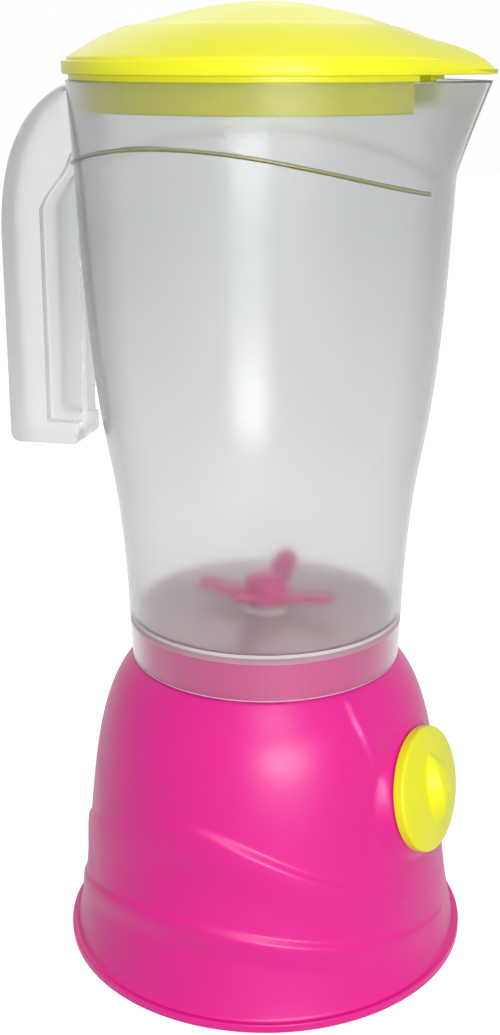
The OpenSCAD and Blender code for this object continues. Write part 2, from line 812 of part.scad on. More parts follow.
// The lid's beak over the spout, and the hollow under it
module beak(inset) {
    low = inset > 0 ? brim_gap + 1 : 0;
    hull() {
        translate([spout_reach - 1.4 - inset, 0, brim_z - low])
            cylinder(r = 2.2 - inset * 0.6, h = brim_h - 0.8 - inset + low, $fn = 32);
        for (s = [-1, 1])
            rotate([0, 0, s * (beak_half - inset)])
                translate([rim_r - 1 - inset, 0, brim_z - low])
                    cylinder(r = 1, h = brim_h - inset + low, $fn = 24);
        translate([rim_r - 8, 0, brim_z + brim_h - inset]) sphere(r = 4.2, $fn = 24);
        translate([cap_r + 2, 0, brim_z - low]) cylinder(r = 3, h = low + 6, $fn = 24);
    }
}

module lid() {
    crown = [for (i = [0:10]) let (u = i / 10) [cap_r * u, top_z - cap_drop * pow(u, 1.8)]];
    cap_z = top_z - cap_drop;
    cone_out = [for (i = [1:8]) let (u = i / 8)
        [cap_r + (dome_r - cap_r) * u, cap_z - (cap_z - dome_z) * pow(u, 1.35)]];
    top_line = concat(crown, cone_out);
    under = [for (p = top_line) if (p[0] < plug_r - lid_wall - 1) [p[0], p[1] - lid_wall]];
    plug_in = plug_r - lid_wall;
    color(yellow) difference() {
        union() {
            rotate_extrude() polygon(concat(
                top_line,
                [[dome_r, brim_z + brim_h], [brim_r, brim_z + brim_h], [brim_r, brim_z]],
                [[rim_r - 0.9, brim_z], [rim_r - 0.9, rim_z], [plug_r, rim_z]],
                [[plug_r - 0.3, rim_z - plug_depth], [plug_in - 0.3, rim_z - plug_depth]],
                [[plug_in, rim_z]], [[plug_in, brim_z + brim_h]], flip(under)
            ));
            beak(0);
        }
        rotate_extrude() polygon(concat(
            [[0, brim_z - 1], [plug_in, brim_z - 1], [plug_in, brim_z + brim_h]], flip(under)
        ));
        beak(lid_wall);
        translate([0, 0, rim_z - plug_depth - 1]) linear_extrude(plug_depth + 1)
            wedge(plug_half, long);
    }
}

base_shell();
base_floor();
floor_screws();
gear_bracket();
bracket_screws();
deck_bush();
knob_dial();
bevel_wheel();
wheel_washer();
wheel_screw();
drive_spindle();
bevel_pinion();
spindle_clip();
drive_dog();
jar();
jar_bush();
driven_dog();
agitator_shaft();
agitator();
lid();
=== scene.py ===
import math

import bmesh
import bpy
import numpy as np
from mathutils import Matrix, Vector


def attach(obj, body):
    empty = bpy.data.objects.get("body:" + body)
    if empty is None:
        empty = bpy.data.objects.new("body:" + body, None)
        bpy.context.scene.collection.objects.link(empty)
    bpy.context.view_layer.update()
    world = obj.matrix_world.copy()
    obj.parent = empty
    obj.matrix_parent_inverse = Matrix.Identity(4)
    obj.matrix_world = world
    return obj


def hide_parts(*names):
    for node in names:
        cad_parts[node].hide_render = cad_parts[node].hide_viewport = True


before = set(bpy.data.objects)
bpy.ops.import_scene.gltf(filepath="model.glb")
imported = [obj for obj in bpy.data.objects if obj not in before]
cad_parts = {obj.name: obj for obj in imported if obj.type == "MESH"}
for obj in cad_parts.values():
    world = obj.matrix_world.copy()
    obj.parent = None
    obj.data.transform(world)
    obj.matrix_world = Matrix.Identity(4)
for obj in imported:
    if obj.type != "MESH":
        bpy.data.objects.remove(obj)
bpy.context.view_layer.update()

# ---------------------------------------------------------------- sizes, in millimetres
# Azimuths are in degrees from -Y towards +X, so the spout is at 90 and the handle at -90.
# A name that ends in _R is a radius, _Z a height and _S a distance from CROSS_Z along the dial's axis.
MM = 0.001
FOOT_R = 60.1
FOOT_H = 2.5
BASE_WALL = 2.0
SIDE_FOOT = (58.3, 3.0)
SHOULDER = (38.0, 89.4)
SIDE_LINE = [SIDE_FOOT, (50.9, 29.6), (54.5, 76.1), SHOULDER]
NECK_R = 36.9
DECK_Z = 100.95
WELL_R = 11.0
WELL_Z = 92.0
BUSH_HOLE_R = 4.52

DIAL_AZ = 73.0
DIAL_TILT = 11.35
CROSS_Z = 46.7085
SEAT_S = 52.136
SEAT_R = 16.4
SEAT_BLEND = 4.6
DIAL_S = 52.336
DIAL_R = 17.8
DIAL_EDGE = 3.1
DIAL_DOME = 1.9
GRIP_LEN = 24.0
GRIP_W = 10.5
GRIP_H = 5.9
FACE_R = 17.05
STEM_R = 4.5
STEM_PLAY = 0.06
STEM_END_S = 17.903
STEM_TIP_R = 3.0
STEM_TIP_S = 12.6

RIM_Z = 250.5
RIM_R = 52.1
JAR_WALL = 2.0
SKIRT_Z = 89.9
SKIRT_R = 39.0
FLARE_R = 43.9
FLARE_Z = 150.0
JAR_LOW = [(SKIRT_R, SKIRT_Z), (39.8, 109.93), (40.15, 129.97), (FLARE_R, FLARE_Z)]
JAR_HIGH = [(FLARE_R, FLARE_Z), (50.17, 183.5), (49.6, 217.0), (RIM_R, RIM_Z)]
SKIRT_IN_R = 37.2
JAR_FLOOR_Z = 101.08
JAR_INSIDE_Z = 103.4
JAR_BUSH_R = 5.02
SPOUT_APEX = 60.55
SPOUT_ROOT_Z = 225.5

HANDLE_W = 18.0
HANDLE_OUTER = [(53.2, 249.2), (68.0, 242.0), (73.0, 226.0), (72.9, 206.0)]
HANDLE_REACH = 73.3
HANDLE_FOOT_Z = 150.5
HANDLE_INNER_R = 52.5
HANDLE_FREE_Z = 213.0
RECESS_DEPTH = 3.2
RECESS_R = 61.8

TOP_Z = 269.8
BRIM_R = 52.9
BRIM_Z = 252.0
BRIM_H = 3.3
BEAK_APEX = 61.35
BEAK_HALF = 31.0
LID_WALL = 1.8
PLUG_R = 48.9
PLUG_IN_R = 47.1
PLUG_DEPTH = 7.5
PLUG_HALF = 31.0

HUB_Z = 104.6
HUB_R = 6.0
HUB_H = 9.0
ARM_REACH = 21.0
ARM_W = 7.0
ARM_T = 1.6
ARM_TURN = -7.0
ARM_RISES = [1.5, 6.5, 1.5, 6.5]
ARM_FOOT_Z = HUB_Z + 1.6
ARM_SPACE = (HUB_Z - 2, HUB_Z + 14)
SHAFT_R = 2.02


# ---------------------------------------------------------------- curves and outlines
def bez(points, t):
    """Points of a cubic curve at the shares t."""
    p = np.array(points, float)
    t = np.asarray(t, float)[..., None]
    return (1 - t) ** 3 * p[0] + 3 * t * (1 - t) ** 2 * p[1] + 3 * t * t * (1 - t) * p[2] + t ** 3 * p[3]


def smooth(x):
    """0 below 0, 1 above 1 and an even turn between."""
    x = np.clip(x, 0.0, 1.0)
    return x * x * (3 - 2 * x)


def softened(corners, steps=5):
    """A polyline with its corners rounded: each corner is (r, z, size of the rounding)."""
    out = []
    last = len(corners) - 1
    for i, (r, z, size) in enumerate(corners):
        here = Vector((r, z))
        if size <= 0 or i in (0, last):
            out.append((r, z))
            continue
        before = Vector(corners[i - 1][:2]) - here
        after = Vector(corners[i + 1][:2]) - here
        cut = min(size, 0.48 * before.length, 0.48 * after.length)
        a = here + before.normalized() * cut
        b = here + after.normalized() * cut
        for k in range(steps + 1):
            t = k / steps
            point = a * (1 - t) ** 2 + here * 2 * t * (1 - t) + b * t * t
            out.append((point.x, point.y))
    return out


def offset_curve(points, t, off):
    """The curve moved sideways by off, towards the axis."""
    p = np.array(points, float)
    t = np.asarray(t, float)
    step = 1e-4
    ahead = bez(p, np.clip(t + step, 0, 1))
    behind = bez(p, np.clip(t - step, 0, 1))
    along = ahead - behind
    along /= np.linalg.norm(along, axis=1)[:, None]
    return bez(p, t) + off * np.stack([-along[:, 1], along[:, 0]], 1)


TABLE_T = np.linspace(0, 1, 801)
SIDE_TABLE = bez(SIDE_LINE, TABLE_T)
JAR_TABLE = np.concatenate([bez(JAR_LOW, TABLE_T), bez(JAR_HIGH, TABLE_T[1:])])


def side_r(z):
    """Radius of the housing's side at a height, without its folds."""
    return np.interp(z, SIDE_TABLE[:, 1], SIDE_TABLE[:, 0])


def jar_r(z):
    """Radius of the jar's outside at a height, without bead and spout."""
    return np.interp(z, JAR_TABLE[:, 1], JAR_TABLE[:, 0])


# ---------------------------------------------------------------- meshes
def new_piece(name, verts, faces):
    """A mesh object from points in millimetres, its normals turned outwards."""
    mesh = bpy.data.meshes.new(name)
    mesh.from_pydata((np.asarray(verts, float) * MM).tolist(), [], faces)
    bm = bmesh.new()
    bm.from_mesh(mesh)
    bmesh.ops.remove_doubles(bm, verts=bm.verts, dist=1e-6)
    bmesh.ops.recalc_face_normals(bm, faces=bm.faces)
    bm.to_mesh(mesh)
    bm.free()
    piece = bpy.data.objects.new(name, mesh)
    bpy.context.scene.collection.objects.link(piece)
    return piece


def grid_faces(rows, columns, close_rows, close_columns):
    """Quads over a grid of points, row by row."""
    row_count = rows if close_rows else rows - 1
    column_count = columns if close_columns else columns - 1
    i, j = np.meshgrid(np.arange(row_count), np.arange(column_count), indexing="ij")
    i2 = (i + 1) % rows
    j2 = (j + 1) % columns
    quads = np.stack([i * columns + j, i * columns + j2, i2 * columns + j2, i2 * columns + j], -1)
    return quads.reshape(-1, 4).tolist()


def spun(name, radius, height, azimuth, closed=True):
    """A body of revolution whose radius and height may change with the azimuth."""
    turn = np.radians(azimuth)[None, :]
    x = radius * np.sin(turn)
    y = -radius * np.cos(turn)
    verts = np.stack([x, y, height], -1).reshape(-1, 3)
    rows, columns = radius.shape
    return new_piece(name, verts, grid_faces(rows, columns, closed, True))


def fields(outline, columns):
    """Radius and height arrays of an outline, one row a point, and the azimuths of the columns."""
    line = np.array(outline, float)
    azimuth = np.linspace(-180, 180, columns, endpoint=False)
    radius = np.repeat(line[:, :1], columns, axis=1)
    height = np.repeat(line[:, 1:2], columns, axis=1)
    return radius, height, azimuth


def prism(name, outline, half_width):
    """A closed slab: an outline of (x, z) points drawn across Y."""
    n = len(outline)
    verts = [(x, y, z) for y in (-half_width, half_width) for x, z in outline]
    faces = [list(range(n)), list(range(2 * n - 1, n - 1, -1))]
    faces += [[i, (i + 1) % n, n + (i + 1) % n, n + i] for i in range(n)]
    return new_piece(name, verts, faces)


def applied(piece):
    """The piece with its modifiers made part of its mesh."""
    bpy.context.view_layer.update()
    view = bpy.context.evaluated_depsgraph_get()
    mesh = bpy.data.meshes.new_from_object(piece.evaluated_get(view))
    piece.modifiers.clear()
    piece.data = mesh
    return piece


def bevelled(piece, width, segments=3, angle=30):
    """The piece with its sharp edges rounded; width is in millimetres."""
    edge = piece.modifiers.new("edge", "BEVEL")
    edge.width = width * MM
    edge.segments = segments
    edge.limit_method = "ANGLE"
    edge.angle_limit = math.radians(angle)
    return applied(piece)


def combined(piece, others, operation):
    """Adds the others to the piece or cuts them out of it, and deletes them."""
    for other in others:
        step = piece.modifiers.new("step", "BOOLEAN")
        step.operation = operation
        step.solver = "MANIFOLD"
        step.object = other
    applied(piece)
    for other in others:
        bpy.data.objects.remove(other)
    return piece


def shaded(piece, sharp=40):
    """Smooth shading that keeps edges over that many degrees sharp."""
    piece.data.shade_smooth()
    piece.data.set_sharp_from_angle(angle=math.radians(sharp))
    return piece


def finished(piece, material, body, slot, *nodes):
    """Gives the piece its material and body and hides the CAD nodes it stands for; slot is not used."""
    piece.data.materials.clear()
    piece.data.materials.append(material)
    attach(piece, body)
    if nodes:
        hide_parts(*nodes)
    return piece


def moved(piece, matrix):
    """Moves the points of a piece, whose object stays at the origin."""
    piece.data.transform(matrix)
    return piece


# ---------------------------------------------------------------- materials
def node(tree, kind, **values):
    """A shader node with its properties or sockets set by name."""
    made = tree.nodes.new(kind)
    for key, value in values.items():
        if hasattr(made, key):
            setattr(made, key, value)
        else:
            made.inputs[key.replace("_", " ")].default_value = value
    return made


def plain_material(name):
    """A new material with one Principled surface: material, node tree and surface node."""
    material = bpy.data.materials.new(name)
    material.use_nodes = True
    tree = material.node_tree
    tree.nodes.clear()
    output = tree.nodes.new("ShaderNodeOutputMaterial")
    surface = tree.nodes.new("ShaderNodeBsdfPrincipled")
    tree.links.new(surface.outputs["BSDF"], output.inputs["Surface"])
    return material, tree, surface


def set_sockets(surface, **values):
    """Sets constants on the shader's own sockets; an underscore stands for a space."""
    for key, value in values.items():
        surface.inputs[key.replace("_", " ")].default_value = value


def noise(tree, scale, detail=3.0, stretch=(1, 1, 1)):
    """Solid noise in the object's own space, from 0 to 1; scale is per metre."""
    place = tree.nodes.new("ShaderNodeTexCoord")
    mapping = tree.nodes.new("ShaderNodeMapping")
    mapping.inputs["Scale"].default_value = stretch
    texture = tree.nodes.new("ShaderNodeTexNoise")
    texture.inputs["Scale"].default_value = scale
    texture.inputs["Detail"].default_value = detail
    tree.links.new(place.outputs["Object"], mapping.inputs["Vector"])
    tree.links.new(mapping.outputs["Vector"], texture.inputs["Vector"])
    return texture.outputs["Fac"]


def spread(tree, value, low, high, start=0.3, end=0.7):
    """Maps start to end of a value onto low to high; the defaults suit noise."""
    step = tree.nodes.new("ShaderNodeMapRange")
    step.inputs["From Min"].default_value = start
    step.inputs["From Max"].default_value = end
    step.inputs["To Min"].default_value = low
    step.inputs["To Max"].default_value = high
    tree.links.new(value, step.inputs["Value"])
    return step.outputs["Result"]


def two_tones(tree, value, first, second):
    """A colour between two tones, by a noise value."""
    ramp = tree.nodes.new("ShaderNodeValToRGB")
    ramp.color_ramp.elements[0].position = 0.3
    ramp.color_ramp.elements[0].color = (*first, 1)
    ramp.color_ramp.elements[1].position = 0.7
    ramp.color_ramp.elements[1].color = (*second, 1)
    tree.links.new(value, ramp.inputs["Fac"])
    return ramp.outputs["Color"]


def bumps(tree, surface, layers):
    """Bump from several height values: (value, height in metres), finest last."""
    normal = None
    for value, height in layers:
        bump = tree.nodes.new("ShaderNodeBump")
        bump.inputs["Strength"].default_value = 1.0
        bump.inputs["Distance"].default_value = height
        tree.links.new(value, bump.inputs["Height"])
        if normal is not None:
            tree.links.new(normal, bump.inputs["Normal"])
        normal = bump.outputs["Normal"]
    tree.links.new(normal, surface.inputs["Normal"])


def moulded_plastic(name, first, second, rough, ior):
    """Glossy opaque plastic: two close tones, slight waves from moulding and uneven gloss."""
    material, tree, surface = plain_material(name)
    set_sockets(surface, IOR=ior)
    tone = noise(tree, 26, 2)
    tree.links.new(two_tones(tree, tone, first, second), surface.inputs["Base Color"])
    gloss = noise(tree, 90, 2)
    tree.links.new(spread(tree, gloss, rough * 0.92, rough * 1.08), surface.inputs["Roughness"])
    bumps(tree, surface, [(noise(tree, 48, 1), 0.00006)])
    return material


def satin_plastic(name, first, second):
    """Natural white machine-part plastic with a fine matt skin."""
    material, tree, surface = plain_material(name)
    set_sockets(surface, IOR=1.5)
    tree.links.new(two_tones(tree, noise(tree, 60, 3), first, second), surface.inputs["Base Color"])
    tree.links.new(spread(tree, noise(tree, 900, 3), 0.38, 0.55), surface.inputs["Roughness"])
    bumps(tree, surface, [(noise(tree, 3000, 3), 0.000008)])
    return material


def plated_steel(name):
    """Zinc-coated steel: fine turned lines, cloudy tone."""
    material, tree, surface = plain_material(name)
    set_sockets(surface, Metallic=1.0, IOR=2.5)
    tone = two_tones(tree, noise(tree, 220, 4), (0.52, 0.53, 0.55), (0.64, 0.65, 0.67))
    tree.links.new(tone, surface.inputs["Base Color"])
    tree.links.new(spread(tree, noise(tree, 1200, 2), 0.28, 0.36), surface.inputs["Roughness"])
    bumps(tree, surface, [(noise(tree, 1500, 2, stretch=(1, 1, 12)), 0.000004)])
    return material


def frosted(name, first, second, share):
    """Milky plastic for the jar's floor, ledge and thick edge, which lets that share of the light through;
    the colours it is given paint light onto it, a pink reflection of the base on the floor and ledge and a
    highlight on the edge.
    """
    material, tree, surface = plain_material(name)
    set_sockets(surface, IOR=1.4, Transmission_Weight=share)
    tree.links.new(two_tones(tree, noise(tree, 40, 2), first, second), surface.inputs["Base Color"])
    tree.links.new(spread(tree, noise(tree, 300, 2), 0.30, 0.36), surface.inputs["Roughness"])
    bumps(tree, surface, [(noise(tree, 48, 1), 0.00004)])
    return material


# Grey of the clear plastic from facing the eye (0) to edge on (1): its own tint facing the eye, darkened
# towards the edge by painted shade
CLEAR_TINT_AND_EDGE_SHADE = [(0.0, 0.80), (0.4, 0.74), (0.7, 0.48), (1.0, 0.12)]
CLEAR_LIGHT = 0.97
# Metres: the plastic is lightened most at the first height and not at all from the second up.
LIGHT_FROM_Z = 0.098
LIGHT_TO_Z = 0.215
# Metres: the handle is frosted beyond the first place and the jar's body is clear from the second on.
FROST_FROM_X = -0.0545
FROST_TO_X = -0.0525


def tint_with_edge_shade(tree, hue):
    """The plastic's grey tint, darkened by painted shade where the wall is seen edge on."""
    edge = tree.nodes.new("ShaderNodeLayerWeight")
    edge.inputs["Blend"].default_value = 0.5
    ramp = tree.nodes.new("ShaderNodeValToRGB")
    for position, _ in CLEAR_TINT_AND_EDGE_SHADE[1:-1]:
        ramp.color_ramp.elements.new(position)
    for stop, (position, grey) in zip(ramp.color_ramp.elements, CLEAR_TINT_AND_EDGE_SHADE):
        stop.position = position
        stop.color = (grey * hue[0], grey * hue[1], grey * hue[2], 1)
    tree.links.new(edge.outputs["Facing"], ramp.inputs["Fac"])
    return ramp.outputs["Color"]


def object_axes(tree):
    """A node whose outputs X, Y and Z are the place in the object's own space, in metres."""
    place = tree.nodes.new("ShaderNodeTexCoord")
    split = tree.nodes.new("ShaderNodeSeparateXYZ")
    tree.links.new(place.outputs["Object"], split.inputs[0])
    return split


def clear_plastic(name, hue=(0.985, 1.0, 1.0)):
    """Clear styrene with a grey tint, painted shade where the wall is seen edge on, and a hazy moulded skin,
    lighter towards the bottom.
    """
    material, tree, surface = plain_material(name)
    set_sockets(
        surface, IOR=1.49, Transmission_Weight=0.985, Coat_Weight=0.3, Coat_Roughness=0.30, Coat_IOR=1.5
    )
    # Painted shade: the tint darkens where the wall is seen edge on
    grey = tint_with_edge_shade(tree, hue)
    cloud = two_tones(tree, noise(tree, 14, 2), (0.965, 0.965, 0.965), (1.0, 1.0, 1.0))
    split = object_axes(tree)
    low = spread(tree, split.outputs["Z"], 0.9, 0.0, LIGHT_FROM_Z, LIGHT_TO_Z)
    light = tree.nodes.new("ShaderNodeMix")
    light.data_type = "RGBA"
    light.inputs[7].default_value = (CLEAR_LIGHT, CLEAR_LIGHT, CLEAR_LIGHT, 1)
    tree.links.new(low, light.inputs["Factor"])
    tree.links.new(grey, light.inputs[6])
    tint = tree.nodes.new("ShaderNodeMix")
    tint.data_type = "RGBA"
    tint.blend_type = "MULTIPLY"
    tint.inputs["Factor"].default_value = 1.0
    tree.links.new(light.outputs[2], tint.inputs[6])
    tree.links.new(cloud, tint.inputs[7])
    tree.links.new(tint.outputs[2], surface.inputs["Base Color"])
    frost = tree.nodes.new("ShaderNodeMath")
    frost.operation = "ADD"
    tree.links.new(spread(tree, noise(tree, 300, 3), 0.145, 0.175), frost.inputs[0])
    handle = spread(tree, split.outputs["X"], 0.30, 0.0, FROST_FROM_X, FROST_TO_X)
    tree.links.new(handle, frost.inputs[1])
    tree.links.new(frost.outputs[0], surface.inputs["Roughness"])
    bumps(tree, surface, [(noise(tree, 36, 1, stretch=(1, 1, 0.4)), 0.00005)])
    return material


PINK = moulded_plastic("pink_plastic", (0.69, 0.003, 0.245), (0.73, 0.005, 0.262), 0.36, ior=1.5)
YELLOW = moulded_plastic("yellow_plastic", (0.81, 0.80, 0.014), (0.85, 0.84, 0.020), 0.33, ior=1.38)
WHITE = satin_plastic("white_plastic", (0.78, 0.78, 0.74), (0.84, 0.84, 0.81))
STEEL = plated_steel("steel")
CLEAR = clear_plastic("clear_plastic")
# Olive bead: a painted reflection of the yellow lid, with painted shade along the bead
OLIVE_LID_REFLECTION = clear_plastic("clear_plastic_bead_painted_reflection", (0.30, 0.32, 0.08))
# Handle panels darker grey: painted shade in the handle's recesses
PANEL_RECESS_SHADE = clear_plastic("clear_plastic_panel_painted_shade", (0.74, 0.76, 0.76))
# Whitish edge: a painted highlight along the edge of the jar's floor and the skirt's bottom edge
FROST_EDGE_HIGHLIGHT = frosted("clear_plastic_edge_painted_highlight", (0.86, 0.80, 0.82), (0.92, 0.86, 0.88), 0.35)
# Pink ledge and floor: milky plastic with a painted pink reflection of the base beneath it, deeper on the
# ledge
LEDGE_BASE_REFLECTION = frosted("clear_plastic_ledge_painted_pink", (0.68, 0.42, 0.52), (0.74, 0.48, 0.58), 0.5)
MILKY_BASE_REFLECTION = frosted("clear_plastic_floor_painted_pink", (0.95, 0.74, 0.81), (0.98, 0.80, 0.86), 0.5)


# ---------------------------------------------------------------- base housing
# A fold is a ledge along a line of (azimuth, z); the skin below it stands out and fades away.
FOLDS = [
    {
        "line": [(-96.9, 27.5), (1.8, 69.2), (-28.8, 65.6), (69.6, 24.7)],
        "fade": 17.0, "ledge": 0.85, "rise": 1.6,
    },
    {
        "line": [(-88.9, 13.0), (-7.2, 38.5), (-12.2, 28.8), (86.0, 13.0)],
        "fade": 9.0, "ledge": 0.7, "rise": 1.35,
    },
]
CREASE = [(48.3, 90.5), (41.0, 84.9), (56.7, 73.1), (52.3, 47.0)]
CREASE_RISE = 1.0
CREASE_FADE = 9.0


def fold_lift(azimuth, z, fold):
    """How far one fold stands out at each point of the side."""
    u = np.linspace(0, 1, 241)
    line = bez(fold["line"], u)
    share = np.interp(azimuth, line[:, 0], u, left=-1, right=-1)
    ledge_z = np.interp(azimuth, line[:, 0], line[:, 1])
    strength = np.where(share < 0, 0, np.sin(np.pi * np.clip(share, 0, 1)) ** 0.6)
    below = ledge_z - z
    up = smooth((below + fold["ledge"]) / (2 * fold["ledge"]))
    down = 1 - smooth((below - 0.15 * fold["fade"]) / (0.85 * fold["fade"]))
    return fold["rise"] * strength * up * down


def crease_lift(azimuth, z):
    """The short ridge beside the dial: a ledge that faces the handle side."""
    u = np.linspace(0, 1, 121)
    line = bez(CREASE, u)[::-1]
    share = np.interp(z, line[:, 1], u[::-1], left=1, right=0)
    ridge_az = np.interp(z, line[:, 1], line[:, 0])
    across = (azimuth - ridge_az) * np.pi / 180 * side_r(z)
    strength = smooth(share / 0.16) * (1 - smooth((share - 0.35) / 0.65))
    up = smooth((across + 0.8) / 1.6)
    down = 1 - smooth((across - 1.2) / CREASE_FADE)
    return CREASE_RISE * strength * up * down


def dial_axis():
    """Unit vector of the dial's axis, which leaves the base's axis at CROSS_Z."""
    az = math.radians(DIAL_AZ)
    tilt = math.radians(DIAL_TILT)
    return np.array([math.sin(az) * math.cos(tilt), -math.cos(az) * math.cos(tilt), math.sin(tilt)])


def dial_matrix():
    """From the dial's own axes, Z outwards and X down its face, to the row frame."""
    return (
        Matrix.Translation((0, 0, CROSS_Z * MM))
        @ Matrix.Rotation(math.radians(DIAL_AZ - 90), 4, "Z")
        @ Matrix.Rotation(math.radians(90 - DIAL_TILT), 4, "Y")
    )


def base_skin():
    """The housing's skin with its folds, the dial's flat seat and the bore for its stem."""
    side_t = np.linspace(0, 1, 190)
    outside = bez(SIDE_LINE, side_t)
    inside = offset_curve(SIDE_LINE, np.linspace(1, 0, 40), BASE_WALL)
    foot = softened([
        (inside[-1][0], 0, 0), (FOOT_R, 0, 0.35), (FOOT_R, FOOT_H, 0.45),
        (SIDE_FOOT[0] + 0.3, FOOT_H + 0.05, 0.4), (*SIDE_FOOT, 0)
    ])
    neck = softened([
        (*SHOULDER, 0), (NECK_R + 0.1, SKIRT_Z, 0.3), (NECK_R, DECK_Z, 0.9), (WELL_R, DECK_Z, 0.5),
        (WELL_R, WELL_Z, 0.3), (BUSH_HOLE_R, WELL_Z, 0), (BUSH_HOLE_R, WELL_Z - BASE_WALL, 0),
        (WELL_R + BASE_WALL, WELL_Z - BASE_WALL, 0.4), (WELL_R + BASE_WALL, DECK_Z - BASE_WALL, 0.4),
        (NECK_R - BASE_WALL, DECK_Z - BASE_WALL, 0.4), (NECK_R - BASE_WALL, SHOULDER[1], 0)
    ])
    outline = foot[:-1] + outside.tolist() + neck[1:] + inside.tolist()[:-1]
    radius, height, azimuth = fields(outline, 360)
    first = len(foot) - 1
    last = first + len(outside)
    side = slice(first + 1, last - 1)
    z = height[side]
    az = np.broadcast_to(azimuth[None, :], z.shape)
    lift = sum(fold_lift(az, z, fold) for fold in FOLDS) + crease_lift(az, z)
    ends = smooth((z - SIDE_FOOT[1]) / 1.5) * smooth((SHOULDER[1] - z) / 2.5)
    radius[side] += lift * ends
    turn = np.radians(azimuth)[None, :]
    x, y = radius * np.sin(turn), -radius * np.cos(turn)
    axis = dial_axis()
    point = np.stack([x, y, height - CROSS_Z], -1)
    along = point @ axis
    off = np.linalg.norm(point - along[..., None] * axis, axis=-1)
    push = np.zeros_like(along)
    weight = (1 - smooth((off - SEAT_R) / SEAT_BLEND)) * (along > 0)
    push[side] = (weight * (SEAT_S - along))[side]
    point += push[..., None] * axis
    point[..., 2] += CROSS_Z
    verts = point.reshape(-1, 3)
    rows, columns = radius.shape
    piece = new_piece("base_skin", verts, grid_faces(rows, columns, True, True))
    bore_r = STEM_R + STEM_PLAY
    bore = spun_solid("bore", [(bore_r, 44.0), (bore_r, 60.0)], 48)
    moved(bore, dial_matrix())
    return shaded(combined(piece, [bore], "DIFFERENCE"), 50)


def spun_solid(name, outline, columns):
    """A closed body of revolution about Z whose outline starts and ends on the axis."""
    whole = [(0.0, outline[0][1])] + list(outline) + [(0.0, outline[-1][1])]
    radius, height, azimuth = fields(whole, columns)
    return spun(name, radius, height, azimuth, closed=False)


# ---------------------------------------------------------------- dial
def grip_height(x, y, dome):
    """Height of the lens-shaped grip over the dial's edge face, or the domed face where that is higher."""
    bow = (GRIP_LEN ** 2 + GRIP_W ** 2) / (4 * GRIP_W)
    centre = bow - GRIP_W / 2
    inside = bow - np.maximum(np.hypot(x, y - centre), np.hypot(x, y + centre))
    crest = 16.0
    top = GRIP_H - crest + np.sqrt(crest ** 2 - np.clip(np.hypot(x, y), 0, 15) ** 2)
    rise = smooth((inside + 0.5) / 2.6)
    crown = 1 - 0.10 * smooth(1 - inside / 3.0)
    return dome + (np.maximum(top, dome) - dome) * rise * crown


def dial():
    """The dial with its domed face, finger grip and stem."""
    columns = 192
    rings = np.concatenate([np.linspace(0, 16.6, 72), [16.85, FACE_R]])
    face_s = DIAL_S + DIAL_EDGE
    dome_r = (DIAL_R ** 2 + DIAL_DOME ** 2) / (2 * DIAL_DOME)
    azimuth = np.linspace(-180, 180, columns, endpoint=False)
    turn = np.radians(azimuth)[None, :]
    radius = np.repeat(rings[:, None], columns, axis=1)
    dome = DIAL_DOME - dome_r + np.sqrt(dome_r ** 2 - radius ** 2)
    face = face_s + grip_height(radius * np.sin(turn), -radius * np.cos(turn), dome)
    edge = softened([
        (FACE_R, float(face[-1, 0]), 0), (DIAL_R, face_s - 0.35, 0.75), (DIAL_R, DIAL_S, 0.5),
        (STEM_R, DIAL_S, 0.2), (STEM_R, STEM_END_S, 0), (STEM_TIP_R, STEM_END_S, 0),
        (STEM_TIP_R, STEM_TIP_S, 0), (0.0, STEM_TIP_S, 0)
    ])
    rest_radius, rest_height, _ = fields(edge[1:], columns)
    piece = spun(
        "dial_knob", np.vstack([radius, rest_radius]), np.vstack([face, rest_height]), azimuth, closed=False
    )
    return shaded(moved(piece, dial_matrix()), 50)


# ---------------------------------------------------------------- jar
# Heights on the outside between which the ledge, painted pink, and then the edge of the jar's floor, with a
# painted highlight, lie
EDGE_BAND = (101.1, 102.9, 103.95)
SPOUT_FROM_Z = 214
# The bead: its rise, half its width, and the mesh rows from BEAD_MIDDLE down and up that follow it
BEAD_RISE = 0.75
BEAD_HALF = 0.52
BEAD_MIDDLE = 228.5
BEAD_REACH = 12.5
# Degrees from the handle between which the bead runs
BEAD_FROM = 9.0
BEAD_TO = 158.0


def wave_z(h):
    """Height of the wavy bead at the angle h, in degrees from the handle."""
    h = np.radians(h)
    return RIM_Z - 20.4 + 3.6 * np.cos(h) - 4.7 * np.cos(2 * h) - 0.5 * np.cos(3 * h)


def bead_lift(azimuth, z):
    """How far the bead stands out of the wall."""
    h = np.abs((azimuth + 90 + 180) % 360 - 180)
    gap = np.abs(z - wave_z(h)) / BEAD_HALF
    ends = smooth((h - BEAD_FROM) / 1.5) * smooth((BEAD_TO - h) / 2.0)
    return BEAD_RISE * np.sqrt(np.clip(1 - gap ** 2, 0, 1)) * ends


def along_bead(z, middle):
    """Shifts rows of points near the bead so that they run along it."""
    share = np.clip((z - BEAD_MIDDLE) / BEAD_REACH, -1, 1)
    lower = middle + share * (middle - (BEAD_MIDDLE - BEAD_REACH))
    upper = middle + share * (BEAD_MIDDLE + BEAD_REACH - middle)
    return np.where(np.abs(share) < 1, np.where(share < 0, lower, upper), z)


def pulled_out(radius, azimuth, apex, tip_width):
    """Radius of a round section with two straight flanks that run to a rounded apex at +X."""
    phi = np.radians((azimuth - 90 + 180) % 360 - 180)
    soft = np.sqrt(phi ** 2 + tip_width ** 2) - tip_width * 0.35
    apex = np.maximum(apex, radius * 1.00001)
    half = np.arccos(np.clip(radius / apex, -1, 1))
    flank = radius / np.cos(np.clip(half - soft, 0, 1.2))
    return np.where(soft < half, flank, radius)


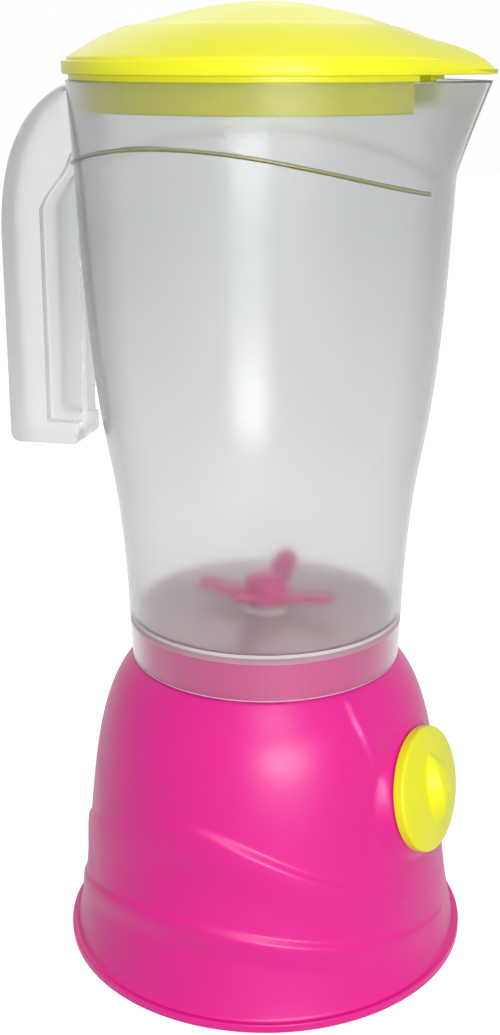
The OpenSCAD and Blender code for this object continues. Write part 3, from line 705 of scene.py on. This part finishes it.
def spout_apex(z):
    """Reach of the spout's edge at each height."""
    share = (z - SPOUT_ROOT_Z) / (RIM_Z - SPOUT_ROOT_Z)
    bend = 0.07
    rising = 0.5 * (share + np.sqrt(share ** 2 + bend ** 2))
    return (SPOUT_APEX - jar_r(RIM_Z)) * rising - 0.35


def jar_outline(upper_rows, inset):
    """Points of the jar's wall from the skirt to the rim, moved in by inset."""
    low = offset_curve(JAR_LOW, np.linspace(0, 1, 32), inset)
    high = offset_curve(JAR_HIGH, np.linspace(0, 1, upper_rows)[1:], inset)
    return np.concatenate([low, high])


def outer_rows_z():
    """Heights of the mesh rows on the outside, close together near the bead."""
    low = np.sort(np.append(np.linspace(SKIRT_Z, FLARE_Z, 31, endpoint=False), EDGE_BAND))
    near = np.linspace(-0.9, 0.9, 19)
    below = np.linspace(-BEAD_REACH, -1.0, 22)
    above = np.linspace(1.0, BEAD_REACH, 22)
    bead = BEAD_MIDDLE + np.concatenate([below, near, above])
    middle = np.linspace(FLARE_Z, bead[0], 26)[:-1]
    top = np.linspace(bead[-1], RIM_Z - 0.4, 9)[1:]
    return np.concatenate([low[1:], middle, bead, top])


def jar_body():
    """The jar without its handle: wall, bead, spout, floor and skirt."""
    z_rows = outer_rows_z()
    outside = np.stack([jar_r(z_rows), z_rows], 1)
    inner = jar_outline(60, JAR_WALL)
    inner = inner[(inner[:, 1] > JAR_INSIDE_Z + 1.6) & (inner[:, 1] < RIM_Z - 0.4)][::-1]
    rim = softened([
        (outside[-1][0], outside[-1][1], 0), (RIM_R, RIM_Z, 0.4), (RIM_R - JAR_WALL, RIM_Z, 0.4),
        (inner[0][0], inner[0][1], 0)
    ])
    inside_r = float(jar_r(JAR_INSIDE_Z)) - JAR_WALL
    floor = softened([
        (inner[-1][0], inner[-1][1], 0), (inside_r, JAR_INSIDE_Z, 1.5), (JAR_BUSH_R, JAR_INSIDE_Z, 0.2),
        (JAR_BUSH_R, JAR_FLOOR_Z, 0.2), (SKIRT_IN_R, JAR_FLOOR_Z, 0.5), (SKIRT_IN_R, SKIRT_Z, 0.4),
        (SKIRT_R, SKIRT_Z, 0.5), (outside[0][0], outside[0][1], 0)
    ])
    outline = outside.tolist() + rim[1:-1] + inner.tolist() + floor[1:-1]
    radius, height, azimuth = fields(outline, 480)
    az = np.broadcast_to(azimuth[None, :], radius.shape)
    outer_rows = len(outside)
    height[:outer_rows] = along_bead(height[:outer_rows], wave_z(azimuth + 90)[None, :])
    radius[:outer_rows] = jar_r(height[:outer_rows])
    top_rows = outer_rows + (len(rim) - 2) // 2
    radius[:outer_rows] += bead_lift(az[:outer_rows], height[:outer_rows])
    apex = spout_apex(height)
    above = height > SPOUT_FROM_Z
    outer = np.zeros(len(outline), bool)
    outer[:top_rows] = True
    outer = np.broadcast_to(outer[:, None], radius.shape)
    wide = pulled_out(radius, az, radius + apex, 0.045)
    narrow = pulled_out(radius, az, radius + apex - 0.25, 0.03)
    radius = np.where(above & outer, wide, radius)
    radius = np.where(above & ~outer, narrow, radius)
    return spun("jar_body", radius, height, azimuth)


def handle_outline():
    """The handle's side view as (x, z) points; its root lies inside the jar's wall."""
    outer = bez(HANDLE_OUTER, np.linspace(0, 1, 25)).tolist()
    corner = softened([
        (HANDLE_REACH - 0.4, HANDLE_OUTER[-1][1], 0), (HANDLE_REACH, HANDLE_FOOT_Z, 3.4),
        (HANDLE_INNER_R, HANDLE_FOOT_Z, 2.2), (HANDLE_INNER_R - 0.7, HANDLE_FOOT_Z + 37, 6),
        (HANDLE_INNER_R - 1.3, HANDLE_FREE_Z - 4, 0)
    ], 8)
    root = float(jar_r(HANDLE_FREE_Z)) - 0.9
    web = softened([
        (HANDLE_INNER_R - 1.3, HANDLE_FREE_Z - 4, 0), (HANDLE_INNER_R - 1.5, HANDLE_FREE_Z, 2.2),
        (root, HANDLE_FREE_Z, 0)
    ], 6)
    line = outer + corner[1:] + web[1:] + [(RIM_R - 1.0, HANDLE_OUTER[0][1])]
    return [(-r, z) for r, z in line]


def recess_outline():
    """Side view of the recess in the handle's flat face, as (x, z) points."""
    top = HANDLE_FREE_Z + 3.5
    low = HANDLE_FOOT_Z + 6.5
    wall = float(jar_r(top))
    roof_line = [
        (RECESS_R - 0.6, top), (RECESS_R - 3.5, top + 7), (wall + 3, top + 8), (wall + 1.0, top + 17)
    ]
    roof = bez(roof_line, np.linspace(0, 1, 13)).tolist()
    line = [(wall - 0.9, top + 17), (HANDLE_INNER_R - 6, low), (RECESS_R, low)] + roof[:-1]
    return [(-r, z) for r, z in line]


def jar():
    """The jar with its recessed handle, as one moulding."""
    body = jar_body()
    handle = bevelled(prism("handle", handle_outline(), HANDLE_W / 2), 1.3, 4, 50)
    cuts = []
    for side in (-1, 1):
        cut = prism("recess", recess_outline(), RECESS_DEPTH)
        cut.data.transform(Matrix.Translation((0, side * HANDLE_W / 2 * MM, 0)))
        cuts.append(bevelled(cut, 0.8, 3, 50))
    handle = combined(handle, cuts, "DIFFERENCE")
    handle = combined(handle, [hollow_solid()], "DIFFERENCE")
    return shaded(combined(body, [handle], "UNION"), 38)


def jar_faces(piece, looks):
    """Gives the bead, handle panels, edge, floor and ledge their materials, in that order: painted lid
    reflection and shade on the bead, painted shade on the panels, a painted highlight on the edge, and a
    painted pink reflection of the base on the floor and ledge.
    """
    mesh = piece.data
    for look in looks:
        mesh.materials.append(look)
    centre = np.empty(len(mesh.polygons) * 3)
    normal = np.empty(len(mesh.polygons) * 3)
    mesh.polygons.foreach_get("center", centre)
    mesh.polygons.foreach_get("normal", normal)
    x, y, z = (centre.reshape(-1, 3) / MM).T
    across, upwards = np.abs(normal.reshape(-1, 3)[:, 1]), normal.reshape(-1, 3)[:, 2]
    radius = np.hypot(x, y)
    azimuth = np.degrees(np.arctan2(x, -y))
    outside = radius > jar_r(z) - 0.5
    raised = (radius > jar_r(z) + 0.05) & (radius < jar_r(z) + BEAD_RISE + 0.1)
    # Bead faces that get the painted lid reflection and shade
    painted_bead = (bead_lift(azimuth, z) > 0.2) & raised
    panel_y = HANDLE_W / 2 - RECESS_DEPTH
    # Recess floors of the handle that get the painted shade
    panel = (across > 0.9) & (np.abs(np.abs(y) - panel_y) < 0.3) & (x < -50)
    # Ledge that gets the painted pink reflection of the base
    ledge = outside & (z > EDGE_BAND[0]) & (z < EDGE_BAND[1])
    # Floor's edge and skirt's bottom edge, which get the painted highlight
    edge = outside & ((z > EDGE_BAND[1]) & (z < EDGE_BAND[2]) | (z < SKIRT_Z + 0.6))
    # Inside floor that gets the painted pink reflection of the base
    floor = (upwards > 0.7) & (np.abs(z - JAR_INSIDE_Z) < 0.6) & (radius < 38.5)
    index = painted_bead + 2 * panel + 3 * edge + 4 * floor + 5 * ledge
    mesh.polygons.foreach_set("material_index", index.astype(np.int32))


def hollow_solid():
    """The jar's inside and a bit of its wall, which the handle's root has to stay out of."""
    z = np.linspace(190, 256, 34)
    line = np.stack([jar_r(np.minimum(z, RIM_Z)) - 1.2, z], 1)
    return spun_solid("hollow", line.tolist(), 240)


# ---------------------------------------------------------------- lid
CROWN = [(0.0, TOP_Z), (13.0, TOP_Z), (25.0, 266.3), (31.8, 264.4)]
CONE = [(36.4, 263.75), (42.0, 261.7), (47.0, 259.0), (51.35, 256.2)]
CAP_R = 32.6
# A shallow dip where the beak leaves the cap
DIP_FROM_R = 24.0
DIP_TO_R = 40.0
DIP_DEPTH = 0.35


def lid_edge(azimuth):
    """Reach of the brim: round, with straight flanks that run to the beak."""
    return pulled_out(np.full_like(azimuth, BRIM_R), azimuth, BEAK_APEX, 0.05)


def beak_share(azimuth):
    """1 over the spout and 0 away from the beak."""
    phi = np.abs((azimuth - 90 + 180) % 360 - 180)
    return 1 - smooth(phi / BEAK_HALF)


def lid_top_line():
    """The round lid's top from the centre to the dome's edge."""
    crown = bez(CROWN, np.linspace(0, 1, 44))
    shelf = np.array([(33.4, 264.08), (35.0, 263.95)])
    cone = bez(CONE, np.linspace(0, 1, 30))
    return np.concatenate([crown, shelf, cone])


def beak_line(share):
    """Height over the beak's ridge, from the cap to the edge."""
    known_r = [0.0, 0.036, 0.14, 0.258, 0.37, 0.477, 0.624, 0.77, 0.87, 0.95, 1.0]
    known_z = [264.0, 263.3, 262.15, 261.15, 260.5, 259.9, 258.75, 257.3, 255.95, 254.3, 252.9]
    return np.interp(share, known_r, known_z)


def lid_surface(columns):
    """The lid's top, one column an azimuth: radius, height, azimuth, brim's reach and beak's share."""
    line = lid_top_line()
    azimuth = np.linspace(-180, 180, columns, endpoint=False)
    reach = lid_edge(azimuth)[None, :]
    beak = beak_share(azimuth)[None, :]
    r = line[:, :1]
    z = np.repeat(line[:, 1:2], columns, axis=1)
    end_r = line[-1, 0]
    share = np.clip((r - CAP_R) / (end_r - CAP_R), 0, 1)
    edge = reach - (BRIM_R - end_r) * (1 - 0.75 * beak)
    radius = np.where(r > CAP_R, CAP_R + share * (edge - CAP_R), r)
    over_beak = beak_line(share)
    height = np.where(r > CAP_R, z * (1 - beak) + over_beak * beak, z)
    ease = smooth((r - DIP_FROM_R) / 9.0) * beak
    height = height - DIP_DEPTH * ease * smooth((DIP_TO_R - r) / 6.0)
    return radius, height, azimuth, reach, beak


def lid_shell():
    """The lid without its plug, closed: top, brim, the hollow under it and the underside."""
    columns = 480
    radius, height, azimuth, reach, beak = lid_surface(columns)
    under_rows = np.where(radius[:, 0] < 46.0)[0][::-2]
    top_edge = BRIM_Z + BRIM_H
    fall = 1 - smooth(beak / 0.8)
    rows_r = []
    rows_z = []

    def row(r, z):
        rows_r.append(np.broadcast_to(r, (1, columns)))
        rows_z.append(np.broadcast_to(z, (1, columns)))

    edge_r = radius[-1:]
    edge_z = height[-1:]
    floor_z = np.minimum(top_edge, edge_z - 0.25)
    for share, out in ((0.25, 0.12), (0.6, 0.2), (0.9, 0.2)):
        row(edge_r + out * fall, edge_z * (1 - share) + floor_z * share)
    ledge = reach - edge_r
    for share, drop in ((0.3, 0.0), (0.75, 0.0), (0.93, 0.12), (1.0, 0.42)):
        row(edge_r + 0.15 * fall + (ledge - 0.15 * fall) * share, floor_z - drop * (1 - 0.3 * beak))
    row(reach + 0 * beak, BRIM_Z + 1.2)
    row(reach + 0 * beak, BRIM_Z + 0.35)
    row(reach - 0.12, BRIM_Z + 0.1)
    row(reach - 0.4, BRIM_Z)
    phi = np.abs((azimuth - 90 + 180) % 360 - 180)[None, :]
    open_share = smooth((PLUG_HALF - phi) / 5.0)
    inner = PLUG_IN_R * (1 - open_share) + (reach - 2.9) * open_share
    row(inner + 0.3, BRIM_Z)
    row(inner, BRIM_Z + 0.3)
    ceiling = np.minimum(BRIM_Z + BRIM_H + 0.6, edge_z + 0.8 - LID_WALL)
    row(inner, ceiling * 0.5 + BRIM_Z * 0.5)
    row(inner - 0.1, ceiling)
    under_z = height[under_rows] - LID_WALL
    under_r = np.minimum(radius[under_rows], inner - 1.4)
    all_r = np.concatenate([radius] + rows_r + [under_r, 0 * under_r[-1:]], 0)
    all_z = np.concatenate([height] + rows_z + [under_z, under_z[-1:]], 0)
    return spun("lid_cap", all_r, all_z, azimuth, closed=False)


def lid_plug():
    """The ring that reaches into the jar, open over the spout, and its seat on the rim."""
    line = softened([
        (PLUG_IN_R + 0.05, BRIM_Z + 0.5, 0), (PLUG_IN_R + 0.05, RIM_Z, 0),
        (PLUG_IN_R - 0.25, RIM_Z - PLUG_DEPTH, 0.5), (PLUG_R - 0.3, RIM_Z - PLUG_DEPTH, 0.5),
        (PLUG_R, RIM_Z, 0.2), (RIM_R - 0.9, RIM_Z, 0.2),
        (RIM_R - 0.9, BRIM_Z + 0.5, 0)
    ])
    outline = np.array(line)
    azimuth = np.linspace(90 + PLUG_HALF, 450 - PLUG_HALF, 300)
    turn = np.radians(azimuth)[None, :]
    radius = np.repeat(outline[:, :1], len(azimuth), axis=1)
    height = np.repeat(outline[:, 1:2], len(azimuth), axis=1)
    verts = np.stack([radius * np.sin(turn), -radius * np.cos(turn), height], -1).reshape(-1, 3)
    rows, columns = radius.shape
    faces = grid_faces(rows, columns, True, False)
    faces.append([i * columns for i in range(rows)])
    faces.append([i * columns + columns - 1 for i in range(rows - 1, -1, -1)])
    return new_piece("lid_plug", verts, faces)


def lid():
    """The whole lid; its plug is joined to it."""
    return shaded(combined(lid_shell(), [lid_plug()], "UNION"), 42)


# ---------------------------------------------------------------- agitator
def agitator_arm(turn, rise):
    """One blade that bends up by rise at its tip and has a round end."""
    knee = 0.55 * ARM_REACH
    tip_r = ARM_W / 2
    tip_x = ARM_REACH - tip_r
    low, high = ARM_SPACE
    line = [
        (0, ARM_FOOT_Z), (knee - 2, ARM_FOOT_Z), (ARM_REACH, ARM_FOOT_Z + rise),
        (ARM_REACH, ARM_FOOT_Z + rise + ARM_T), (knee - 2.6, ARM_FOOT_Z + ARM_T), (0, ARM_FOOT_Z + ARM_T)
    ]
    arm = prism("arm", line, tip_r)
    tip = spun_solid("tip", [(tip_r, low), (tip_r, high)], 48)
    moved(tip, Matrix.Translation((tip_x * MM, 0, 0)))
    block = prism("block", [(-1, low), (tip_x, low), (tip_x, high), (-1, high)], tip_r + 0.01)
    combined(tip, [block], "UNION")
    combined(arm, [tip], "INTERSECT")
    return moved(arm, Matrix.Rotation(math.radians(turn), 4, "Z"))


def agitator():
    """Hub and four arms, melted together at the joins, with the bore for the shaft."""
    cap = softened([
        (HUB_R, HUB_Z, 0), (HUB_R, HUB_Z + HUB_H - 1.6, 1.6), (HUB_R - 2.2, HUB_Z + HUB_H - 0.3, 1.5),
        (0.4, HUB_Z + HUB_H, 0)
    ])
    piece = spun_solid("agitator_blades", [(HUB_R - 0.5, HUB_Z)] + cap, 96)
    arms = [agitator_arm(ARM_TURN + 90 * i, rise) for i, rise in enumerate(ARM_RISES)]
    combined(piece, arms, "UNION")
    blend = piece.modifiers.new("blend", "REMESH")
    blend.mode = "VOXEL"
    blend.voxel_size = 0.00035
    ease = piece.modifiers.new("ease", "SMOOTH")
    ease.factor = 0.5
    ease.iterations = 4
    applied(piece)
    bore = spun_solid("bore", [(SHAFT_R, HUB_Z - 1), (SHAFT_R, HUB_Z + HUB_H - 2)], 48)
    return shaded(combined(piece, [bore], "DIFFERENCE"), 50)


# ---------------------------------------------------------------- the object
finished(base_skin(), PINK, "base", "pink_plastic", "base_shell")
finished(dial(), YELLOW, "dial", "yellow_plastic", "knob_dial")
# The jar's bead, panels, edge, floor and ledge get painted light: lid reflection, recess shade, highlight and
# the base's pink reflection
jar_faces(finished(jar(), CLEAR, "jar", "clear_plastic", "jar"), [OLIVE_LID_REFLECTION, PANEL_RECESS_SHADE, FROST_EDGE_HIGHLIGHT, MILKY_BASE_REFLECTION, LEDGE_BASE_REFLECTION])
finished(lid(), YELLOW, "lid", "yellow_plastic", "lid")
finished(agitator(), PINK, "agitator", "pink_plastic", "agitator")

CAD_LOOKS = {
    "base_floor": PINK, "driven_dog": PINK, "gear_bracket": WHITE, "deck_bush": WHITE, "bevel_wheel": WHITE,
    "bevel_pinion": WHITE, "drive_dog": WHITE, "jar_bush": WHITE, "floor_screws": STEEL,
    "bracket_screws": STEEL, "wheel_washer": STEEL, "wheel_screw": STEEL, "drive_spindle": STEEL,
    "spindle_clip": STEEL, "agitator_shaft": STEEL,
}
for name, look in CAD_LOOKS.items():
    for material_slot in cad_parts[name].material_slots:
        material_slot.material = look


# ---------------------------------------------------------------- stage, light and camera
WORLD_LIGHT = 0.34
FLOOR_GREY = 0.55
FLOOR_GLOW = 0.90
LAMP_AIM_Z = 0.13


def seen_share(tree, *rays):
    """1 for the named kinds of ray and 0 for all others."""
    path = tree.nodes.new("ShaderNodeLightPath")
    seen = path.outputs[rays[0]]
    for name in rays[1:]:
        either = tree.nodes.new("ShaderNodeMath")
        either.operation = "MAXIMUM"
        tree.links.new(seen, either.inputs[0])
        tree.links.new(path.outputs[name], either.inputs[1])
        seen = either.outputs[0]
    return seen


def either_shader(tree, share, first, second):
    """The first shader where share is 0 and the second where it is 1."""
    mix = tree.nodes.new("ShaderNodeMixShader")
    tree.links.new(share, mix.inputs["Fac"])
    tree.links.new(first, mix.inputs[1])
    tree.links.new(second, mix.inputs[2])
    return mix.outputs[0]


def make_world():
    """White for the camera and for mirrored rays, and a dimmer even light on the toy."""
    world = bpy.data.worlds.new("studio")
    bpy.context.scene.world = world
    world.use_nodes = True
    tree = world.node_tree
    tree.nodes.clear()
    output = tree.nodes.new("ShaderNodeOutputWorld")
    lit = node(tree, "ShaderNodeBackground", Color=(1, 1, 1, 1), Strength=WORLD_LIGHT)
    white = node(tree, "ShaderNodeBackground", Color=(1, 1, 1, 1), Strength=1.0)
    share = seen_share(tree, "Is Camera Ray", "Is Glossy Ray", "Is Transmission Ray")
    tree.links.new(either_shader(tree, share, lit.outputs[0], white.outputs[0]), output.inputs["Surface"])


def make_floor():
    """A plain pale floor that keeps the toy's shadow and mirrors as white."""
    size = 6.0
    mesh = bpy.data.meshes.new("floor")
    corner = size / 2
    mesh.from_pydata([(-corner, -corner, 0), (corner, -corner, 0), (corner, corner, 0), (-corner, corner, 0)],
                     [], [(0, 1, 2, 3)])
    floor = bpy.data.objects.new("floor", mesh)
    bpy.context.scene.collection.objects.link(floor)
    floor.location.z = -0.0002
    material, tree, surface = plain_material("floor")
    grey = (FLOOR_GREY, FLOOR_GREY, FLOOR_GREY, 1)
    set_sockets(surface, Base_Color=grey, Roughness=0.9, Specular_IOR_Level=0.1)
    output = tree.nodes["Material Output"]
    glow = node(tree, "ShaderNodeEmission", Color=(1, 1, 1, 1), Strength=FLOOR_GLOW)
    none = node(tree, "ShaderNodeEmission", Color=(0, 0, 0, 1), Strength=0.0)
    white = node(tree, "ShaderNodeEmission", Color=(1, 1, 1, 1), Strength=1.0)
    lit = tree.nodes.new("ShaderNodeAddShader")
    tree.links.new(surface.outputs[0], lit.inputs[0])
    camera_glow = either_shader(tree, seen_share(tree, "Is Camera Ray"), none.outputs[0], glow.outputs[0])
    tree.links.new(camera_glow, lit.inputs[1])
    mirrored = seen_share(tree, "Is Glossy Ray", "Is Transmission Ray")
    tree.links.new(either_shader(tree, mirrored, lit.outputs[0], white.outputs[0]), output.inputs["Surface"])
    mesh.materials.append(material)


def softbox(name, azimuth, elevation, distance, width, height, power):
    """A rectangular lamp that looks at the middle of the toy: degrees, metres and watts."""
    az, up = math.radians(azimuth), math.radians(elevation)
    target = Vector((0, 0, LAMP_AIM_Z))
    place = target + distance * Vector(
        (math.sin(az) * math.cos(up), -math.cos(az) * math.cos(up), math.sin(up))
    )
    lamp = bpy.data.lights.new(name, "AREA")
    lamp.shape = "RECTANGLE"
    lamp.size = width
    lamp.size_y = height
    lamp.energy = power
    box = bpy.data.objects.new(name, lamp)
    bpy.context.scene.collection.objects.link(box)
    box.location = place
    box.rotation_euler = (target - place).to_track_quat("-Z", "Y").to_euler()


# The camera, in pixels of the 500 x 1035 frame, degrees and metres
FRAME_H_PX = 1035.0
FOCAL_PX = 1440.0
CENTRE_SHIFT_PX = 15.5
SENSOR_H = 36.0
CAMERA_AZ = 13.0
CAMERA_DOWN = 17.87
CAMERA_AWAY = 0.394
CAMERA_Z = 0.2570


def make_camera():
    """The camera at the photograph's viewing angle."""
    camera = bpy.data.cameras.new("camera")
    camera.sensor_fit = "VERTICAL"
    camera.sensor_height = SENSOR_H
    camera.lens = FOCAL_PX / FRAME_H_PX * SENSOR_H
    camera.shift_x = -CENTRE_SHIFT_PX / FRAME_H_PX
    view = bpy.data.objects.new("camera", camera)
    bpy.context.scene.collection.objects.link(view)
    turn = math.radians(CAMERA_AZ)
    view.location = (CAMERA_AWAY * math.sin(turn), -CAMERA_AWAY * math.cos(turn), CAMERA_Z)
    view.rotation_euler = (math.radians(90 - CAMERA_DOWN), 0, turn)
    bpy.context.scene.camera = view


bpy.context.scene.view_settings.view_transform = "Standard"
make_world()
make_floor()
softbox("key", 21, 48, 1.1, 0.34, 0.90, 4.7)
softbox("back", 205, 34, 1.2, 0.9, 0.7, 1.5)
softbox("front", 25, 8, 1.1, 0.52, 0.17, 6.4)
make_camera()
